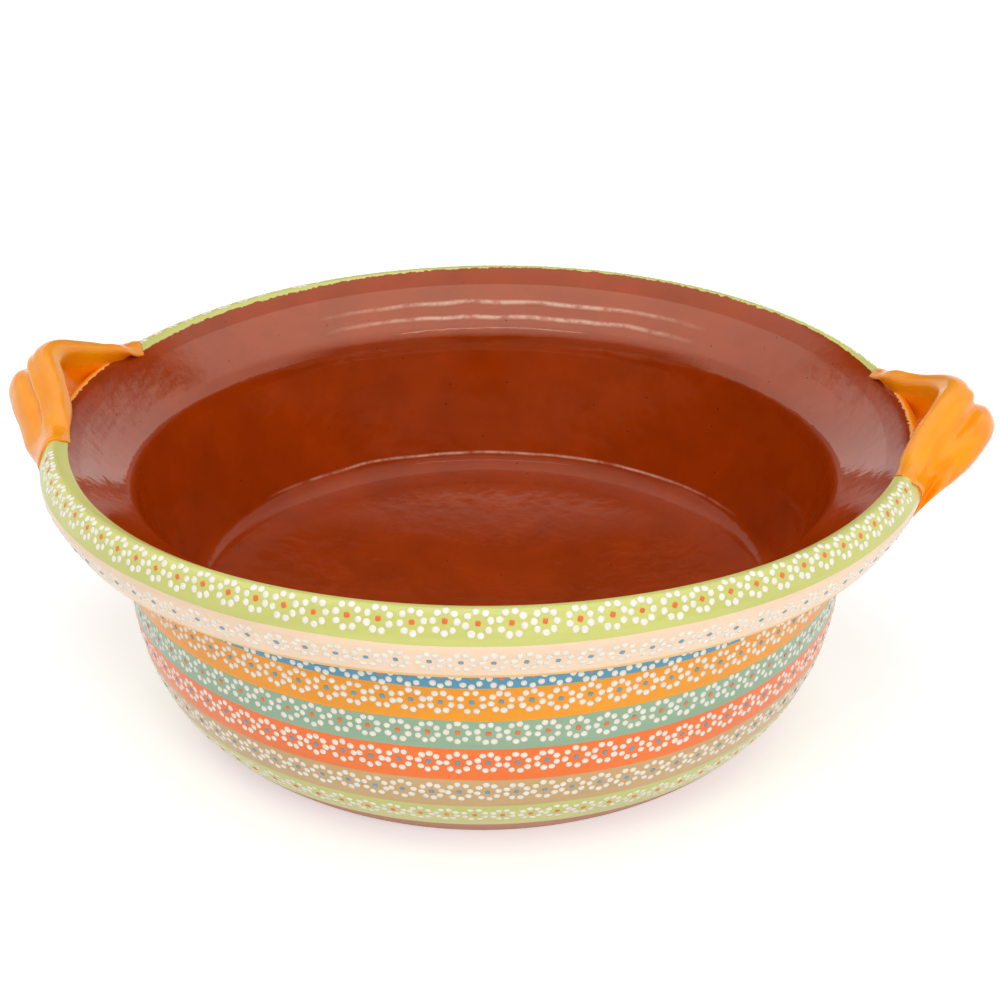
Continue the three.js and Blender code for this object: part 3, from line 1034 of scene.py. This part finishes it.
def random_value(pen, low, high, seed, data_type="FLOAT"):
    """A random number between two, or a vector for FLOAT_VECTOR, fixed by its seed."""
    node = pen("FunctionNodeRandomValue", {"Min": low, "Max": high, "Seed": seed}, data_type=data_type)
    return next(output for output in node.outputs if output.enabled)


def random_vector(pen, low, high, seed):
    """A vector whose parts are each such a number."""
    return random_value(pen, low, high, seed, "FLOAT_VECTOR")


def random_stray(pen, reach, seed):
    """A random move of up to reach either way along each axis."""
    return random_vector(pen, pen.scaled((-1, -1, -1), reach), pen.scaled((1, 1, 1), reach), seed)


def pressed_on(pen, geometry, clay):
    """Each point moved to the nearest place on the clay."""
    nearest = pen("GeometryNodeProximity", {"Geometry": clay}, target_element="FACES")
    return pen("GeometryNodeSetPosition", {
        "Geometry": geometry, "Position": nearest.outputs["Position"]}).outputs[0]


def clay_normal(pen, clay):
    """The clay's normal nearest to each point."""
    normal = pen("GeometryNodeInputNormal").outputs[0]
    sample = pen("GeometryNodeSampleNearestSurface", {"Mesh": clay}, data_type="FLOAT_VECTOR")
    pen.tree.links.new(normal, next(i for i in sample.inputs if i.enabled and i.name == "Value"))
    return next(o for o in sample.outputs if o.enabled and o.name == "Value")


def facing(pen, normal):
    """A rotation that lays a dot's flat face along the clay."""
    return pen("FunctionNodeAlignRotationToVector", {"Vector": normal}, axis="Z").outputs[0]


def squarish_dab(pen, radius):
    """A soft-cornered square dab."""
    side = pen.math("MULTIPLY", radius, 2)
    cube = pen("GeometryNodeMeshCube", {
        "Size": pen("ShaderNodeCombineXYZ", {0: side, 1: side, 2: side}).outputs[0],
        **dict(zip(("Vertices X", "Vertices Y", "Vertices Z"), DAB_POINTS)),
    }).outputs[0]
    place = pen("GeometryNodeInputPosition").outputs[0]
    ball = pen.scaled(pen.vector("NORMALIZE", place), radius)
    soft = pen("ShaderNodeMix", {0: DAB_ROUNDNESS, 4: place, 5: ball}, data_type="VECTOR").outputs[1]
    return pen("GeometryNodeSetPosition", {"Geometry": cube, "Position": soft}).outputs[0]


def nodes_result(name, tree, values):
    """The plain mesh that a node tree makes from named values."""
    carrier = bpy.data.objects.new(name, bpy.data.meshes.new(name))
    bpy.context.scene.collection.objects.link(carrier)
    modifier = carrier.modifiers.new("rule", "NODES")
    modifier.node_group = tree
    identifiers = {item.name: item.identifier for item in tree.interface.items_tree
                   if item.in_out == "INPUT"}
    for label, value in values.items():
        modifier[identifiers[label]] = value
    bpy.context.view_layer.update()
    evaluated = carrier.evaluated_get(bpy.context.evaluated_depsgraph_get())
    mesh = bpy.data.meshes.new_from_object(evaluated)
    bpy.data.objects.remove(carrier)
    mesh.name = name
    return mesh


def flower_rows(slips):
    """Each row's white dots and the coloured dabs in their middles, as two pieces."""
    tree = flower_row_tree()
    for seed, (name, clay, flowers, stretches, radius, height, lift, middle) in enumerate(FLOWER_ROWS, 1):
        gap = math.radians(ROW_GAP) if stretches == 2 else 0
        shared = {
            "Clay": bpy.data.objects[clay], "Flowers": flowers, "Stretches": stretches,
            "Petals": PETALS, "Seed": seed, "Start": gap, "Sweep": 2 * math.pi / stretches - 2 * gap,
            "Row radius": radius * MM, "Row height": height * MM, "Back lift": lift * MM,
            "Ring radius": RING_RADIUS * MM, "Dot thickness": SLIP_THICKNESS * MM,
            "Wander": FLOWER_WANDER * MM,
        }
        dots = nodes_result(name + "_dots", tree, {
            **shared, "Slip": slips["white"], "Middles only": False, "Dot radius": DOT_RADIUS * MM})
        new_piece(name + "_dots", dots, "white_dots")
        dabs = nodes_result(name + "_middles", tree, {
            **shared, "Slip": slips[middle], "Middles only": True, "Dot radius": DAB_RADIUS * MM})
        new_piece(name + "_middles", dabs, "flower_centres")


# Pieces

def tight_corner(point):
    """A point of the round between wall and floor, moved so that the round is tighter."""
    corner = Vector(FLOOR_CORNER) * MM
    if (point - corner).length > FLOOR_ROUND * MM:
        return point
    return corner.lerp(point, FLOOR_TIGHTER)


def make_body(materials):
    """The body, painted outside and brown inside. Its outline ends at the middle of the floor."""
    outline = fine_outline(turned_section("bowl_body"), False, BODY_STEP)
    outline = [tight_corner(point) for point in outline]
    top = max(range(len(outline)), key=lambda i: (round(outline[i].y, 6), outline[i].x))
    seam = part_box("bowl_body")[1]

    def material_of(start, end):
        on_seam = start.x > seam.x - PAINTED_SEAM * MM and start.y > seam.z - MM
        return 0 if on_seam or outline.index(start) < top else 1

    mesh = turned_mesh("body_clay", outline, False, materials, material_of)
    new_piece("body_clay", mesh, "body_glaze", "bowl_body")


def make_collar(materials):
    """The collar, painted on the lip and the underside and brown on the flare and down the throat."""
    outline = fine_outline(turned_section("rim_collar"), True, COLLAR_STEP)

    def material_of(start, end):
        flare = start.y > THROAT_HEIGHT * MM or max(start.x, end.x) < WALL_RADIUS * MM
        return 1 if flare and start.x <= PAINTED_RADIUS * MM else 0

    mesh = turned_mesh("collar_clay", outline, True, materials, material_of)
    new_piece("collar_clay", mesh, "collar_glaze", "rim_collar")


# Stage

def white_surroundings():
    """White to the camera, pale walls and ceiling for the glaze to mirror, and soft light for the rest."""
    world = bpy.data.worlds.new("studio")
    world.use_nodes = True
    world.node_tree.nodes.clear()
    pen = NodePen(world.node_tree)
    rays = pen("ShaderNodeLightPath").outputs
    seen = pen.math("MAXIMUM", rays["Is Camera Ray"],
                   pen.math("MAXIMUM", rays["Is Glossy Ray"], rays["Is Transmission Ray"]))
    direction = pen("ShaderNodeTexCoord").outputs["Generated"]
    _, backwards, upwards = pen("ShaderNodeSeparateXYZ", {"Vector": direction}).outputs
    turn = math.radians(CAMERA_TURN)
    sideways = pen.vector("DOT_PRODUCT", direction, (-math.sin(turn), math.cos(turn), 0), out=1)
    rise = pen.math("MULTIPLY_ADD", pen.math("ABSOLUTE", sideways), -WALLS_SLOPE, upwards)
    walls = pen.product(between(pen, rise, *WALLS_TOP, 1.0, WALLS_FAINT),
                        between(pen, backwards, *WALLS_FRONT, WALLS_FRONT_FAINT, 1.0))
    ceiling = pen.product(between(pen, upwards, *CEILING_FOOT),
                          between(pen, upwards, *CEILING_TOP, 1.0, CEILING_BRIGHT),
                          between(pen, backwards, *CEILING_BACK, 1.0, 0.0))
    backdrop = pen.math("MAXIMUM", pen.math("MAXIMUM", walls, ceiling), rays["Is Camera Ray"])
    soft = pen("ShaderNodeBackground", {"Color": (1, 1, 1, 1), "Strength": SOFT_LIGHT})
    white = pen("ShaderNodeBackground", {"Color": (1, 1, 1, 1), "Strength": backdrop})
    both = pen("ShaderNodeMixShader", {0: seen, 1: soft.outputs[0], 2: white.outputs[0]})
    pen("ShaderNodeOutputWorld", {"Surface": both.outputs[0]})
    bpy.context.scene.world = world


def pale_floor():
    """A sheet of pale paper that takes the bowl's shadow and whitens away from it."""
    mesh = bpy.data.meshes.new("floor")
    corners = [(x * FLOOR_HALF, y * FLOOR_HALF, 0) for x, y in ((-1, -1), (1, -1), (1, 1), (-1, 1))]
    mesh.from_pydata(corners, [], [(0, 1, 2, 3)])
    floor = bpy.data.objects.new("floor", mesh)
    bpy.context.scene.collection.objects.link(floor)
    material, pen = new_material("floor_paper")
    rays = pen("ShaderNodeLightPath").outputs
    paper = pen("ShaderNodeBsdfDiffuse", {"Color": (FLOOR_WHITE, FLOOR_WHITE, FLOOR_WHITE, 1)})
    away = pen.vector("LENGTH", pen("ShaderNodeTexCoord").outputs["Object"], out=1)
    glow = pen("ShaderNodeEmission", {
        "Color": (1, 1, 1, 1), "Strength": between(pen, away, *GLOW_REACH, *GLOW)})
    none = pen("ShaderNodeEmission", {"Color": (0, 0, 0, 1), "Strength": 0.0})
    seen = pen.math("MAXIMUM", rays["Is Camera Ray"], rays["Is Glossy Ray"])
    lift = pen("ShaderNodeMixShader", {0: seen, 1: none.outputs[0], 2: glow.outputs[0]})
    both = pen("ShaderNodeAddShader", {0: paper.outputs[0], 1: lift.outputs[0]})
    pen("ShaderNodeOutputMaterial", {"Surface": both.outputs[0]})
    mesh.materials.append(material)


def studio_lights():
    """Soft boxes round the bowl."""
    for name, place, aim, size, watts, mirrored in LAMPS:
        light = bpy.data.lights.new(name, "AREA")
        light.shape = "RECTANGLE"
        light.size, light.size_y = size
        light.energy = watts
        lamp = bpy.data.objects.new(name, light)
        lamp.location = place
        lamp.rotation_euler = (Vector(aim) - Vector(place)).to_track_quat("-Z", "Y").to_euler()
        lamp.visible_glossy = mirrored
        bpy.context.scene.collection.objects.link(lamp)


def photo_camera():
    """Stands the camera where the photograph was taken, so that the mouth's middle falls on its pixel."""
    turn = math.radians(CAMERA_TURN)
    rise = math.radians(CAMERA_RISE)
    mouth = Vector((0, 0, MOUTH_HEIGHT * MM))
    away = Vector((math.cos(rise) * math.cos(turn), math.cos(rise) * math.sin(turn), math.sin(rise)))
    right = Vector((-math.sin(turn), math.cos(turn), 0))
    towards_mouth = Matrix((right, away.cross(right), away)).transposed()
    half = PHOTO_WIDTH / 2
    sight = Vector((MOUTH_PIXEL[0] - half, half - MOUTH_PIXEL[1], -FOCAL_PIXELS))
    off_centre = sight.rotation_difference(Vector((0, 0, -1))).to_matrix()
    roll = Matrix.Rotation(math.radians(CAMERA_ROLL), 3, "Z")
    data = bpy.data.cameras.new("photo_camera")
    data.lens = data.sensor_width * FOCAL_PIXELS / PHOTO_WIDTH
    data.clip_start = CLIP_START
    camera = bpy.data.objects.new("photo_camera", data)
    camera.matrix_world = Matrix.Translation(mouth + away * CAMERA_DISTANCE * MM) @ (
        towards_mouth @ roll @ off_centre).to_4x4()
    bpy.context.scene.collection.objects.link(camera)
    bpy.context.scene.camera = camera


brown_glaze_group()
bands = painted_bands()
make_body((bands, brown_glaze("well_glaze", WELL_IOR)))
make_collar((bands, brown_glaze("flare_glaze", FLARE_IOR)))
make_handles(handle_glaze())
flower_rows({
    "white": slip_dab("white_slip", WHITE_SLIP),
    "red": slip_dab("red_slip", RED_DAB),
    "blue": slip_dab("blue_slip", BLUE_DAB),
})
photo_camera()
white_surroundings()
pale_floor()
studio_lights()
bpy.context.scene.view_settings.view_transform = "Standard"
